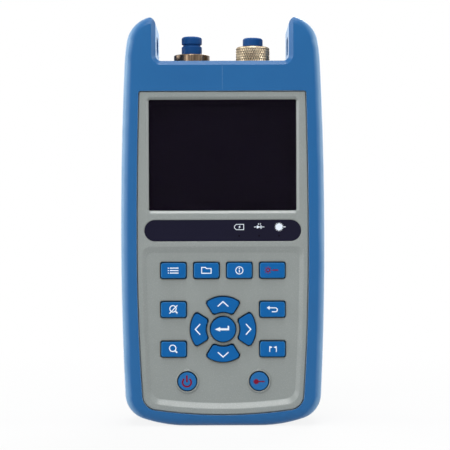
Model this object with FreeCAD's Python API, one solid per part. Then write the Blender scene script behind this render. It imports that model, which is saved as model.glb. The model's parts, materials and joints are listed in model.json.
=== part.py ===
"""Handheld optical time domain reflectometer.

A grey two-part moulded housing stands in a blue rubber boot.  Two horns of the boot rise on either side of
the two optical ports at the top.  The front carries a display window, an indicator strip and fifteen keys;
the back carries a fold-out stand and the battery door; the right side has a rubber cover over the sockets.

Units are millimetres.  X runs to the right of somebody looking at the display, Y runs from the display to
the back, Z runs up.  The origin is the middle of the footprint, on the surface that the boot stands on.
"""
import FreeCAD
import Part
import math
import os

V = FreeCAD.Vector
X, Y, Z = V(1, 0, 0), V(0, 1, 0), V(0, 0, 1)

# ---------------------------------------------------------------- display, which sets most of the size
WINDOW_W, WINDOW_H, WINDOW_CORNER = 72.0, 54.2, 0.5
WINDOW_BEVEL, WINDOW_BEVEL_DEPTH = 1.3, 1.1
LENS_T, LENS_GAP, LENS_LEDGE = 1.0, 0.1, 1.5
LCD_MARGIN_X, LCD_MARGIN_Z, LCD_T = 2.4, 5.15, 3.3
LCD_DROP = 3.6              # the module reaches further down than up, for its flat cable
STRIP_OVERHANG, STRIP_H, STRIP_T, STRIP_GAP = 2.1, 10.3, 0.3, 0.15
LED_XS, LED_SIZE, LED_T = (8.0, 17.7, 27.4), 1.4, 0.6
LED_DROP = 2.6              # below the middle of the strip

# ---------------------------------------------------------------- keys
KEY_W, KEY_H, KEY_CORNER = 12.0, 7.3, 0.6
KEY_PITCH = 16.05
ENTER_R = 6.0
ARROW_R_IN, ARROW_R_OUT, ARROW_ANGLE, ARROW_CORNER = 8.5, 15.75, 32.0, 0.9
ARROW_BULGE_R = 13.4        # outer face of an arrow key, rounder than the pad
ROUND_KEY_R, ROUND_KEY_X = 4.4, 17.5
KEY_PROUD, ROUND_KEY_PROUD = 1.6, 1.0       # above the floor of the keypad field
COLLAR_R, COLLAR_H = 5.65, 0.7
KEY_GAP, ROUND_KEY_GAP = 0.5, 0.55
KEY_FLANGE, KEY_FLANGE_T = 0.9, 0.9
KEY_TRAVEL = 0.8
KEY_SEAT_GAP = 0.15         # flange to the back of the panel
FOOT = 3.6                  # side of the square foot under a key
SWITCH, SWITCH_T, SWITCH_GAP = 5.0, 0.3, 0.1
MAT_MARGIN, MAT_HOLE, MAT_GAP = 6.0, 7.2, 0.1

# ---------------------------------------------------------------- heights, from the foot up
BOTTOM_LIP, TOP_LIP, SIDE_LIP = 5.3, 14.75, 7.75        # of the boot, round the grey front
RECESS_MARGIN_BOTTOM, RECESS_MARGIN_SIDE = 3.0, 2.65    # front panel to the rim of the dished key field
ROUND_KEY_RISE, ROW_RISE_LOW, ROW_RISE_PAD, ROW_RISE_TOP = 13.55, 15.65, 19.3, 19.0
RECESS_OVER_KEYS, STRIP_OVER_RECESS, WINDOW_OVER_STRIP, PANEL_OVER_WINDOW = 11.6, 7.8, 9.7, 4.15
BEZEL_SIDE = 5.95
HORN_HEIGHT = 21.6

PANEL_BOTTOM = BOTTOM_LIP
RECESS_BOTTOM = PANEL_BOTTOM + RECESS_MARGIN_BOTTOM
ROUND_KEY_Z = RECESS_BOTTOM + ROUND_KEY_RISE
ROW_LOWER = ROUND_KEY_Z + ROW_RISE_LOW
ROW_UPPER = ROW_LOWER + ROW_RISE_PAD
PAD_Z = (ROW_LOWER + ROW_UPPER) / 2
ROW_TOP = ROW_UPPER + ROW_RISE_TOP
RECESS_TOP = ROW_TOP + RECESS_OVER_KEYS
STRIP_Z = RECESS_TOP + STRIP_OVER_RECESS
WINDOW_Z = STRIP_Z + WINDOW_OVER_STRIP + WINDOW_H / 2
PANEL_TOP = WINDOW_Z + WINDOW_H / 2 + PANEL_OVER_WINDOW
DECK_Z = PANEL_TOP + TOP_LIP                # floor of the notch between the horns
HEIGHT = DECK_Z + HORN_HEIGHT               # floor to the tips of the horns

# ---------------------------------------------------------------- widths and depths
PANEL_HALF_WIDTH = WINDOW_W / 2 + BEZEL_SIDE
HALF_WIDTH = PANEL_HALF_WIDTH + SIDE_LIP    # 49.7: at the widest height
DEPTH = 48.0
FRONT, BACK = -DEPTH / 2, DEPTH / 2
WIDEST_Z = 0.465 * HEIGHT                   # height at which the bowed sides are widest

# ---------------------------------------------------------------- boot
SIDE_R_LOW = 1600.0         # bow of the sides below the widest height
SIDE_R_UP = 1800.0          # and above it
BOTTOM_R, BOTTOM_TURN = 67.0, 18.5          # arcs beside the flat foot, and how far they turn
CORNER_R = 12.8
SHOULDER_R, SHOULDER_TURN = 90.0, 7.0       # where the sides lean in towards the horns
CROWN_R, CROWN_END = 14.7, 76.5             # over the horns, and its heading at the tip
BOOT_EDGE_R, BOOT_EDGE_STEPS = 4.0, 3
BOOT_WALL = 3.0
LIP = 3.0                   # front and back lips that hold the housing
HORN_WIDTH = 17.2           # from the widest line to the wall of the notch
NOTCH_HALF = HALF_WIDTH - HORN_WIDTH
NOTCH_CORNER_R = 2.8
NOTCH_BEVEL = 2.1
HORN_TIP_R = 4.2
STRAP_SLOT_LENGTH, STRAP_SLOT_HEIGHT, STRAP_SLOT_RISE = 18.0, 9.0, 9.1
STRAP_SLOT_Z = DECK_Z + STRAP_SLOT_RISE
BACK_LIP_SIDE, BACK_LIP_BOTTOM, BACK_LIP_TOP = 10.7, 13.0, 19.0     # round the rear opening
BACK_CORNER_R = 8.0

# ---------------------------------------------------------------- housing
FIT = 0.15                  # between the boot and the sides of the housing
SHELL_WALL = 2.2
PARTING_Y = FRONT + 16.0    # plane where front and rear shell meet
HOUSING_TOP_R = 5.0
PANEL_SUNK = 0.7            # how far the grey panels lie below the faces of the boot
PANEL_GAP = 0.45            # round the grey panels
PANEL_WALL = 3.0
PANEL_R_LOW, PANEL_R_UP, PANEL_R_BOTTOM = 1080.0, 2600.0, 231.0
PANEL_CORNER_R, PANEL_TOP_R = 7.4, 1.2
PANEL_WIDEST_Z = WIDEST_Z - 5.0
POCKET_WALL = 2.0           # side of the raised panel, seen from inside
RECESS_DEPTH = 1.2
RECESS_SIDE_SLOPE, RECESS_END_SLOPE = 2.0, 2.9
RECESS_CORNER_R, RECESS_TOP_R = 6.2, 4.0
RECESS_HALF_WIDTH = PANEL_HALF_WIDTH - RECESS_MARGIN_SIDE
BACK_HALF_WIDTH = HALF_WIDTH - BACK_LIP_SIDE
BACK_BOTTOM, BACK_TOP = BACK_LIP_BOTTOM, DECK_Z - BACK_LIP_TOP

# ---------------------------------------------------------------- optical ports
PORT_X, PORT_Y = 15.25, 0.0
PORT_DECK_LENGTH, PORT_DECK_WIDTH, PORT_DECK_CORNER = 56.0, 24.0, 5.0
PORT_DECK_SUNK, PORT_DECK_GAP, BOOT_DECK_GAP = 0.5, 0.2, 0.45
PORT_DECK_TOP = DECK_Z - PORT_DECK_SUNK
FLANGE_R, FLANGE_H = 8.95, 5.3
BARREL_R, BARREL_LENGTH = 4.0, 7.2
FERRULE_DROP = 8.9          # how far the ferrule reaches below the top of the deck
SLEEVE_R, SLEEVE_BORE_R, SLEEVE_LENGTH, SLEEVE_SUNK = 1.7, 1.25, 5.2, 0.6
CAP_R, CAP_NECK_R, CAP_SKIRT_H, CAP_NECK_H, CAP_CROWN_H = 5.08, 4.45, 4.3, 0.8, 4.1
CAP_EDGE, CAP_GAP = 1.0, 0.1
LASER_CAP_R, LASER_CAP_SKIRT_R, LASER_CAP_CROWN_H = 5.0, 4.7, 4.4
LASER_POST_R, LASER_POST_H = 6.5, 4.1
LASER_FLANGE_R, LASER_FLANGE_T, LASER_BARREL_H = 6.3, 1.4, 7.9
NUT_R, NUT_H, NUT_LIP_R, NUT_FLOAT = 8.45, 8.8, 5.4, 0.4
THREAD_GAP = 0.06
FLANGE_TOP = PORT_DECK_TOP + FLANGE_H
FERRULE_BOTTOM = PORT_DECK_TOP - FERRULE_DROP
SLEEVE_TOP = FLANGE_TOP + BARREL_LENGTH - SLEEVE_SUNK
SLEEVE_BOTTOM = SLEEVE_TOP - SLEEVE_LENGTH
LASER_SEAT = PORT_DECK_TOP + LASER_POST_H
LASER_BARREL_TOP = LASER_SEAT + LASER_BARREL_H
NUT_BOTTOM = PORT_DECK_TOP + NUT_FLOAT
NUT_TOP = NUT_BOTTOM + NUT_H
NUT_STEP_Z = LASER_SEAT + LASER_FLANGE_T + THREAD_GAP

# ---------------------------------------------------------------- stand, on the upper half of the back
STAND_MARGIN_SIDE, STAND_MARGIN_TOP, STAND_LENGTH = 11.0, 11.0, 66.0
STAND_T, STAND_GAP, STAND_CORNER_R = 3.0, 0.4, 4.0
STAND_RAIL, STAND_FOOT_RAIL, STAND_HEAD_RAIL = 10.0, 17.0, 15.0     # frame round the opening in the stand
STAND_PIN_R, STAND_PIN_GAP, STAND_PIN_GRIP = 0.8, 0.06, 3.0
FINGER_R, FINGER_DEPTH = 8.0, 2.0
STAND_HALF_WIDTH = BACK_HALF_WIDTH - STAND_MARGIN_SIDE
STAND_PIVOT_Z = BACK_TOP - STAND_MARGIN_TOP
STAND_BOTTOM = STAND_PIVOT_Z - STAND_LENGTH

# ---------------------------------------------------------------- battery, behind a door in the lower half
DOOR_MARGIN_SIDE, DOOR_MARGIN_BOTTOM, DOOR_H, DOOR_T, DOOR_CORNER = 3.4, 4.5, 51.0, 2.0, 1.5
DOOR_GAP, DOOR_LEDGE = 0.2, 2.2
BATTERY_H, BATTERY_T, BATTERY_RISE, BATTERY_EDGE = 38.4, 19.4, 28.3, 1.0
BAY_GAP, BAY_WALL = 0.4, 1.5
GROOVE_LENGTH, GROOVE_W, GROOVE_DEPTH, GROOVE_PITCH, GROOVE_DROP = 26.0, 1.4, 0.5, 3.2, 10.5
CONTACT_W, CONTACT_H, CONTACT_PITCH, CONTACT_RISE = 3.0, 5.0, 6.5, 13.2
DOOR_HALF_WIDTH, DOOR_BOTTOM = BACK_HALF_WIDTH - DOOR_MARGIN_SIDE, BACK_BOTTOM + DOOR_MARGIN_BOTTOM
BATTERY_W = 2 * (DOOR_HALF_WIDTH - DOOR_LEDGE - BAY_GAP)
BATTERY_Z = DOOR_BOTTOM + BATTERY_RISE
DOOR_Z = DOOR_BOTTOM + DOOR_H / 2

# ---------------------------------------------------------------- side sockets and their cover
COVER_LENGTH, COVER_FRONT, COVER_BACK = 39.7, -6.5, 9.5
COVER_T, COVER_GAP, COVER_CORNER_R = 2.7, 0.35, 1.0
COVER_PAD_T, COVER_PAD_GAP = 1.0, 1.4
SOCKET_WINDOW_MARGIN = 3.8
SOCKET_WINDOW_FRONT, SOCKET_WINDOW_BACK = -4.6, 6.6
COVER_BOTTOM = WIDEST_Z - 2.0
COVER_TOP = COVER_BOTTOM + COVER_LENGTH
SOCKET_WINDOW_BOTTOM = COVER_BOTTOM + SOCKET_WINDOW_MARGIN
SOCKET_WINDOW_TOP = COVER_TOP - SOCKET_WINDOW_MARGIN
SIDE_BOARD_INSET, SIDE_BOARD_MARGIN, SIDE_BOARD_FRONT = 12.1, 2.0, -6.5
SOCKET_Y, SOCKET_DEPTH, SOCKET_PIN_SUNK = 1.0, 6.2, 0.8
USB_W, USB_H, USB_WALL, USB_TONGUE, USB_TONGUE_INSET = 5.6, 8.6, 0.5, 1.8, 1.8
JACK_SIZE, JACK_BORE_R, JACK_PIN_R = 9.0, 2.75, 1.0
USB_RISE, JACK_DROP = 12.5, 12.0            # from the ends of the cover
SIDE_BOARD_X = HALF_WIDTH - SIDE_BOARD_INSET
USB_Z, JACK_Z = COVER_BOTTOM + USB_RISE, COVER_TOP - JACK_DROP

# ---------------------------------------------------------------- electronics
BOARD_T, BOARD_MARGIN_SIDE, BOARD_MARGIN_BOTTOM, BOARD_CORNER = 1.6, 4.55, 6.9, 3.0
POST = 4.6                  # side of the square posts that carry the board
POST_XS, POST_MARGIN = (-33.5, 33.5), 3.5
MODULE_T, OTDR_BOX_LEFT, OTDR_BOX_W, OTDR_BOX_H = 20.0, -36.0, 42.0, 54.0
LASER_BOX_W, LASER_BOX_H, MODULE_DROP, MODULE_BEVEL = 11.0, 30.0, 30.0, 1.0
FIBRE_R = 1.0
CHIP_T, CHIP_PIN = 1.2, 0.5
CHIPS = ((-14.0, 19.0, 18.0, 18.0), (12.0, 21.0, 12.0, 12.0), (-8.0, -9.0, 14.0, 20.0),
         (16.0, -7.0, 10.0, 14.0), (24.0, 13.0, 5.0, 4.0))          # x, height over the pad, width, height

# ---------------------------------------------------------------- planes that follow from the sizes above
HOUSING_FRONT, HOUSING_BACK = FRONT + LIP, BACK - LIP
HOUSING_INSET = BOOT_WALL + FIT
HOUSING_TOP = DECK_Z - HOUSING_INSET
FACE_Y, BACK_FACE_Y = FRONT + PANEL_SUNK, BACK - PANEL_SUNK
RECESS_Y = FACE_Y + RECESS_DEPTH
PANEL_IN_Y = FACE_Y + PANEL_WALL
BOARD_FRONT = PANEL_IN_Y + LCD_T
BOARD_BACK = BOARD_FRONT + BOARD_T
KEY_FLANGE_FRONT = PANEL_IN_Y + KEY_SEAT_GAP
KEY_FLANGE_BACK = KEY_FLANGE_FRONT + KEY_FLANGE_T
KEY_FOOT_BACK = BOARD_FRONT - SWITCH_T - SWITCH_GAP - KEY_TRAVEL
MAT_FRONT = KEY_FLANGE_BACK + KEY_TRAVEL + MAT_GAP
SHELL_INNER_BACK = HOUSING_BACK - SHELL_WALL
DOOR_INNER_Y = BACK_FACE_Y - DOOR_T
BAY_FLOOR_Y = DOOR_INNER_Y - BATTERY_T
PORT_DECK_BOTTOM = HOUSING_TOP - 2 * SHELL_WALL
STAND_INNER_Y = BACK_FACE_Y - STAND_T
LED_Z = STRIP_Z - LED_DROP
BOARD_BOTTOM, BOARD_TOP = PANEL_BOTTOM + BOARD_MARGIN_BOTTOM, PORT_DECK_BOTTOM - 1.0
BOARD_HALF_WIDTH = PANEL_HALF_WIDTH - BOARD_MARGIN_SIDE
POST_ZS = (BOARD_BOTTOM + POST_MARGIN, STRIP_Z - 3.6, BOARD_TOP - POST_MARGIN)
MODULE_TOP = DECK_Z - MODULE_DROP
STRIP_W = WINDOW_W + 2 * STRIP_OVERHANG


def sind(a):
    return math.sin(math.radians(a))


def cosd(a):
    return math.cos(math.radians(a))


# ---------------------------------------------------------------- plain solids
def box(x0, x1, y0, y1, z0, z1):
    return Part.makeBox(x1 - x0, y1 - y0, z1 - z0, V(x0, y0, z0))


def rod(axis, at, radius, start, end):
    """Cylinder along one axis; 'at' gives the two other coordinates in their usual order."""
    if axis is X:
        base = V(start, at[0], at[1])
    elif axis is Y:
        base = V(at[0], start, at[1])
    else:
        base = V(at[0], at[1], start)
    return Part.makeCylinder(radius, end - start, base, axis)


def along(solid, axis, where=lambda c: True):
    """Straight edges of the solid that run along an axis."""
    return [e for e in solid.Edges
            if isinstance(e.Curve, Part.Line) and abs(e.tangentAt(e.FirstParameter).dot(axis)) > 0.999
            and where(e.CenterOfMass)]


def clipped(w, h, c, x, z, y0, y1):
    """Rectangle with its corners cut off, facing the front."""
    solid = box(x - w / 2, x + w / 2, y0, y1, z - h / 2, z + h / 2)
    return solid.makeChamfer(c, along(solid, Y))


def spin(x, y, profile):
    """Solid of revolution about an upright axis; the profile lists radius and height."""
    points = [V(x + r, y, z) for r, z in profile]
    return Part.Face(Part.makePolygon(points + points[:1])).revolve(V(x, y, 0), Z, 360)


def face_at(solid, y):
    """Outer wire of the face of a prism in the plane at this y."""
    faces = [f for f in solid.Faces if abs(f.BoundBox.YMin - y) < 1e-4 and abs(f.BoundBox.YMax - y) < 1e-4]
    return faces[0].OuterWire


def join(solids):
    return solids[0].multiFuse(solids[1:]).removeSplitter()


# ---------------------------------------------------------------- outlines in the plane of the display
def outline(right, y0, y1, bottom=None):
    """Prism over a symmetric outline whose right half is listed upwards, as lines and three-point arcs."""
    def edge(points):
        points = [V(x, y0, z) for x, z in points]
        if len(points) == 2:
            return Part.makeLine(*points)
        return Part.Arc(*points).toShape()

    left = [[(-x, z) for x, z in reversed(points)] for points in reversed(right)]
    start, end = right[0][0], right[-1][-1]
    middle = [] if bottom is None else [(0.0, bottom)]
    base = [(-start[0], start[1])] + middle + [start]
    top = [end, (-end[0], end[1])]
    edges = [edge(points) for points in [base] + right + [top] + left]
    return Part.Face(Part.Wire(edges)).extrude(V(0, y1 - y0, 0))


def bowed(x, z, steps, up):
    """Arcs that leave the vertical at (x, z) and bend inwards; a step is a radius and the heading reached."""
    arcs, heading = [], 0.0
    for radius, reached in steps:
        cx, cz = x - radius * cosd(heading), z - up * radius * sind(heading)
        points = [(cx + radius * cosd(a), cz + up * radius * sind(a))
                  for a in (heading, (heading + reached) / 2, reached)]
        arcs.append(points)
        (x, z), heading = points[-1], reached
    return arcs


def lower_half(inset):
    """Right side of the boot from the foot up to the widest height, or a line that far inside it."""
    side, corner, bottom = SIDE_R_LOW - inset, CORNER_R - inset, BOTTOM_R - inset
    drop = WIDEST_Z - inset - corner * cosd(BOTTOM_TURN) - bottom * (1 - cosd(BOTTOM_TURN))
    lean = math.degrees(math.asin(drop / (side - corner)))
    arcs = bowed(HALF_WIDTH - inset, WIDEST_Z, [(side, lean), (corner, 90 - BOTTOM_TURN), (bottom, 90.0)], -1)
    return [list(reversed(points)) for points in reversed(arcs)]


def boot_outline(inset, y):
    """Outline of the boot before the notch, or a line that far inside it."""
    turn = SHOULDER_TURN
    a = SIDE_R_UP + SHOULDER_R * (cosd(turn) - 1) - CROWN_R * cosd(turn)
    b = (SHOULDER_R - CROWN_R) * sind(turn)
    c = HEIGHT - WIDEST_Z - CROWN_R * sind(CROWN_END)
    lean = math.degrees(math.asin(c / math.hypot(a, b)) - math.atan2(b, a))
    upper = bowed(HALF_WIDTH - inset, WIDEST_Z,
                  [(SIDE_R_UP - inset, lean), (SHOULDER_R - inset, lean + turn), (CROWN_R - inset, 90.0)], 1)
    return face_at(outline(lower_half(inset) + upper, y, y + 1), y)


def boot_blank():
    """Boot before the notch. Its rounded edges are a few flats each."""
    sections = []
    for step in range(BOOT_EDGE_STEPS + 1):
        turn = 90.0 * step / BOOT_EDGE_STEPS
        sections.append((BOOT_EDGE_R * (1 - sind(turn)), FRONT + BOOT_EDGE_R * (1 - cosd(turn))))
    sections += [(inset, -y) for inset, y in reversed(sections)]
    return Part.makeLoft([boot_outline(inset, y) for inset, y in sections], True, True)


def housing_prism(inset, y0, y1):
    """Housing outline, or the cavity that far inside it."""
    total = HOUSING_INSET + inset
    corner = HOUSING_TOP_R - inset
    side = SIDE_R_UP - total
    lean = math.degrees(math.asin((HOUSING_TOP - inset - WIDEST_Z - corner) / (side - corner)))
    upper = bowed(HALF_WIDTH - total, WIDEST_Z, [(side, lean), (corner, 90.0)], 1)
    return outline(lower_half(total) + upper, y0, y1)


def panel_prism(half, bottom, top, corner_r, top_r, y0, y1):
    """Outline of the grey front and of what follows it: bowed sides, arched bottom, straight top."""
    cx, cz, r = half - PANEL_R_LOW, PANEL_WIDEST_Z, PANEL_R_LOW
    bz, s = bottom + PANEL_R_BOTTOM, PANEL_R_BOTTOM
    dx, dz = -cx, bz - cz
    d = math.hypot(dx, dz)
    run = (r * r - s * s + d * d) / (2 * d)
    off = math.sqrt(r * r - run * run)
    foot = (cx + (run * dx + off * dz) / d, cz + (run * dz - off * dx) / d)
    a, b = [math.degrees(math.asin((h - cz) / r)) for h in (foot[1], min(top, cz))]
    sides = [[foot] + [(cx + r * cosd(t), cz + r * sind(t)) for t in ((a + b) / 2, b)]]
    if top > cz:
        a = math.degrees(math.asin((top - cz) / PANEL_R_UP))
        ux = half - PANEL_R_UP
        sides.append([(half, cz)] + [(ux + PANEL_R_UP * cosd(t), cz + PANEL_R_UP * sind(t)) for t in (a / 2, a)])
    solid = outline(sides, y0, y1, bottom)
    low = bottom + 2 * corner_r
    solid = solid.makeFillet(corner_r, along(solid, Y, lambda c: c.z < low and abs(c.x) > 1))
    return solid.makeFillet(top_r, along(solid, Y, lambda c: c.z > top - 1))


def front_panel(gap, y0, y1):
    return panel_prism(PANEL_HALF_WIDTH - gap, PANEL_BOTTOM + gap, PANEL_TOP - gap,
                       PANEL_CORNER_R - gap, max(PANEL_TOP_R - gap, 0.4), y0, y1)


def back_panel(gap, y0, y1):
    return panel_prism(BACK_HALF_WIDTH - gap, BACK_BOTTOM + gap, BACK_TOP - gap,
                       BACK_CORNER_R - gap, BACK_CORNER_R - gap, y0, y1)


# ---------------------------------------------------------------- boot
def notch_prism(grow, y0, y1):
    """Space between the horns, grown sideways and down; it also levels the tips."""
    wall, deck, corner = NOTCH_HALF + grow, DECK_Z - grow, NOTCH_CORNER_R + grow
    outer, over = HALF_WIDTH + 10, HEIGHT + 10
    k = cosd(45)
    right = [
        [(wall - corner, deck), (wall - corner + corner * k, deck + corner - corner * k), (wall, deck + corner)],
        [(wall, deck + corner), (wall, HEIGHT - HORN_TIP_R)],
        [(wall, HEIGHT - HORN_TIP_R),
         (wall + HORN_TIP_R * (1 - k), HEIGHT - HORN_TIP_R * (1 - k)), (wall + HORN_TIP_R, HEIGHT)],
        [(wall + HORN_TIP_R, HEIGHT), (outer, HEIGHT)],
        [(outer, HEIGHT), (outer, over)],
    ]
    return outline(right, y0, y1)


def notch_section(grow, y):
    wall, deck, corner = NOTCH_HALF + grow, DECK_Z - grow, NOTCH_CORNER_R + grow
    k = cosd(45)
    right = [
        [(wall - corner, deck), (wall - corner + corner * k, deck + corner - corner * k), (wall, deck + corner)],
        [(wall, deck + corner), (wall, HEIGHT + 5)],
    ]
    return face_at(outline(right, y, y + 1), y)


def notch_wedge(face, inward):
    """Bevel round the notch at one face of the boot."""
    outside = 1.0
    return Part.makeLoft([notch_section(NOTCH_BEVEL + outside, face - inward * outside),
                          notch_section(-outside, face + inward * (NOTCH_BEVEL + outside))], True, True)


def strap_slot():
    reach = (STRAP_SLOT_LENGTH - STRAP_SLOT_HEIGHT) / 2
    r, wide = STRAP_SLOT_HEIGHT / 2, HALF_WIDTH + 5
    ends = [rod(X, (side * reach, STRAP_SLOT_Z), r, -wide, wide) for side in (-1, 1)]
    middle = box(-wide, wide, -reach, reach, STRAP_SLOT_Z - r, STRAP_SLOT_Z + r)
    return middle.multiFuse(ends).removeSplitter()


def deck_plate(grow, z0, z1):
    """Long plate with its corners cut off, which carries the two ports."""
    w, d = PORT_DECK_LENGTH / 2 + grow, PORT_DECK_WIDTH / 2 + grow
    plate = box(-w, w, PORT_Y - d, PORT_Y + d, z0, z1)
    return plate.makeChamfer(PORT_DECK_CORNER, along(plate, Z))


def cover_hole(gap, x0, x1):
    solid = box(x0, x1, COVER_FRONT - gap, COVER_BACK + gap, COVER_BOTTOM - gap, COVER_TOP + gap)
    return solid.makeFillet(COVER_CORNER_R + gap, along(solid, X))


def protective_boot():
    boot = boot_blank().cut(notch_prism(0.0, FRONT - 5, BACK + 5))
    boot = boot.cut(notch_wedge(FRONT, 1)).cut(notch_wedge(BACK, -1))
    boot = boot.cut(strap_slot())
    boot = boot.cut(housing_prism(0.0, HOUSING_FRONT, HOUSING_BACK))
    boot = boot.cut(front_panel(0.0, FRONT - 1, HOUSING_FRONT + 1))
    boot = boot.cut(back_panel(0.0, HOUSING_BACK - 1, BACK + 1))
    boot = boot.cut(deck_plate(BOOT_DECK_GAP, HOUSING_TOP - 1, DECK_Z + 1))
    return boot.cut(cover_hole(COVER_GAP, HALF_WIDTH - HOUSING_INSET - 2, HALF_WIDTH + 1))


# ---------------------------------------------------------------- keys
def block(at, side, y0, y1):
    """Square block behind the panel."""
    return box(at[0] - side / 2, at[0] + side / 2, y0, y1, at[1] - side / 2, at[1] + side / 2)


def rect_key(x, z):
    def prism(grow, y0, y1, plain=False):
        w, h = KEY_W + 2 * grow, KEY_H + 2 * grow
        if plain:
            return box(x - w / 2, x + w / 2, y0, y1, z - h / 2, z + h / 2)
        return clipped(w, h, KEY_CORNER, x, z, y0, y1)
    return prism


def round_key(x, z, r):
    def prism(grow, y0, y1, plain=False):
        if plain:
            return block((x, z), 2 * (r + grow), y0, y1)
        return rod(Y, (x, z), r + grow, y0, y1)
    return prism


def arrow_key(turn):
    """A piece of a ring round the middle of the pad, turned from pointing up."""
    def wedge(grow, inner, outer, y0, y1):
        side = grow / cosd(ARROW_ANGLE)
        corners = [(-1, outer), (-1, inner), (1, inner), (1, outer), (-1, outer)]
        points = [V(way * (side + reach * math.tan(math.radians(ARROW_ANGLE))), y0, PAD_Z + reach)
                  for way, reach in corners]
        return Part.Face(Part.makePolygon(points)).extrude(V(0, y1 - y0, 0))

    def prism(grow, y0, y1, plain=False):
        if plain:
            solid = wedge(grow, ARROW_R_IN - grow, ARROW_R_OUT + grow, y0, y1)
        else:
            middle = PAD_Z + ARROW_R_OUT - ARROW_BULGE_R
            ring = rod(Y, (0, middle), ARROW_BULGE_R + grow, y0, y1).cut(
                rod(Y, (0, PAD_Z), ARROW_R_IN - grow, y0 - 1, y1 + 1))
            solid = ring.common(wedge(grow, 0.0, 2 * ARROW_R_OUT, y0, y1))
            solid = solid.makeChamfer(ARROW_CORNER, along(solid, Y))
        solid.rotate(V(0, 0, PAD_Z), Y, turn)
        return solid
    return prism


ARROW_FOOT = (ARROW_R_IN + ARROW_R_OUT) / 2
KEYS, GAPS = {}, {}         # each key's outline, place and height; its gap where that isn't KEY_GAP
for name, column in (("menu", -1.5), ("file", -0.5), ("info", 0.5), ("light", 1.5)):
    at = (column * KEY_PITCH, ROW_TOP)
    KEYS["key_" + name] = (rect_key(*at), at, KEY_PROUD)
for name, column, row in (("zoom_out", -1.5, ROW_UPPER), ("escape", 1.5, ROW_UPPER),
                          ("zoom_in", -1.5, ROW_LOWER), ("marker", 1.5, ROW_LOWER)):
    at = (column * KEY_PITCH, row)
    KEYS["key_" + name] = (rect_key(*at), at, KEY_PROUD)
for name, turn in (("up", 0.0), ("right", 90.0), ("down", 180.0), ("left", 270.0)):
    at = (ARROW_FOOT * sind(turn), PAD_Z + ARROW_FOOT * cosd(turn))
    KEYS["key_" + name] = (arrow_key(turn), at, KEY_PROUD)
KEYS["key_enter"] = (round_key(0.0, PAD_Z, ENTER_R), (0.0, PAD_Z), KEY_PROUD)
for name, side in (("power", -1), ("laser", 1)):
    at = (side * ROUND_KEY_X, ROUND_KEY_Z)
    KEYS["key_" + name] = (round_key(at[0], at[1], ROUND_KEY_R), at, ROUND_KEY_PROUD)
    GAPS["key_" + name] = ROUND_KEY_GAP
KEY_PLACES = [at for _, at, _ in KEYS.values()]


def key(name):
    prism, at, proud = KEYS[name]
    cap = prism(0.0, RECESS_Y - proud, KEY_FLANGE_FRONT)
    flange = prism(KEY_FLANGE, KEY_FLANGE_FRONT, KEY_FLANGE_BACK, True)
    return join([cap, flange, block(at, FOOT, KEY_FLANGE_BACK, KEY_FOOT_BACK)])


def keypad_mat():
    reach_x = max(x for x, _ in KEY_PLACES) + MAT_MARGIN
    low, high = [pick(z for _, z in KEY_PLACES) for pick in (min, max)]
    mat = box(-reach_x, reach_x, MAT_FRONT, BOARD_FRONT, low - MAT_MARGIN, high + MAT_MARGIN)
    return mat.cut([block(at, MAT_HOLE, MAT_FRONT - 1, BOARD_FRONT + 1) for at in KEY_PLACES])


def key_switches():
    return Part.makeCompound([block(at, SWITCH, BOARD_FRONT - SWITCH_T, BOARD_FRONT) for at in KEY_PLACES])


# ---------------------------------------------------------------- housing
def recess():
    """Dished field round the keys."""
    lift = RECESS_DEPTH / 2
    rise = 1 + lift / RECESS_DEPTH
    side, end = RECESS_SIDE_SLOPE, RECESS_END_SLOPE

    def section(part, y):
        solid = panel_prism(RECESS_HALF_WIDTH - side * part, RECESS_BOTTOM + end * part,
                            RECESS_TOP - end * part, RECESS_CORNER_R - part, RECESS_TOP_R - part, y, y + 1)
        return face_at(solid, y)
    return Part.makeLoft([section(1.0, RECESS_Y), section(1 - rise, FACE_Y - lift)], True, True)


def window_cut():
    """Bevelled window, seat of the lens and the opening behind it."""
    def section(grow, y):
        corner = WINDOW_CORNER + max(grow, 0)
        return face_at(clipped(WINDOW_W + 2 * grow, WINDOW_H + 2 * grow, corner, 0, WINDOW_Z, y, y + 1), y)
    lens_front = FACE_Y + WINDOW_BEVEL_DEPTH
    slope = WINDOW_BEVEL / WINDOW_BEVEL_DEPTH
    bevel = Part.makeLoft([section(0.0, lens_front), section(WINDOW_BEVEL + slope, FACE_Y - 1)], True, True)
    seat = clipped(WINDOW_W, WINDOW_H, WINDOW_CORNER, 0, WINDOW_Z, lens_front, lens_front + LENS_T)
    w, h = WINDOW_W / 2 - LENS_LEDGE, WINDOW_H / 2 - LENS_LEDGE
    opening = box(-w, w, lens_front, PANEL_IN_Y + 1, WINDOW_Z - h, WINDOW_Z + h)
    return [bevel, seat, opening]


def strip_prism(gap, y0, y1):
    r = STRIP_H / 2 + gap
    reach = STRIP_W / 2 - STRIP_H / 2
    ends = [rod(Y, (side * reach, STRIP_Z), r, y0, y1) for side in (-1, 1)]
    return box(-reach, reach, y0, y1, STRIP_Z - r, STRIP_Z + r).multiFuse(ends).removeSplitter()


def port_deck_cut():
    return deck_plate(PORT_DECK_GAP, PORT_DECK_BOTTOM, HOUSING_TOP + 1)


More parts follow.
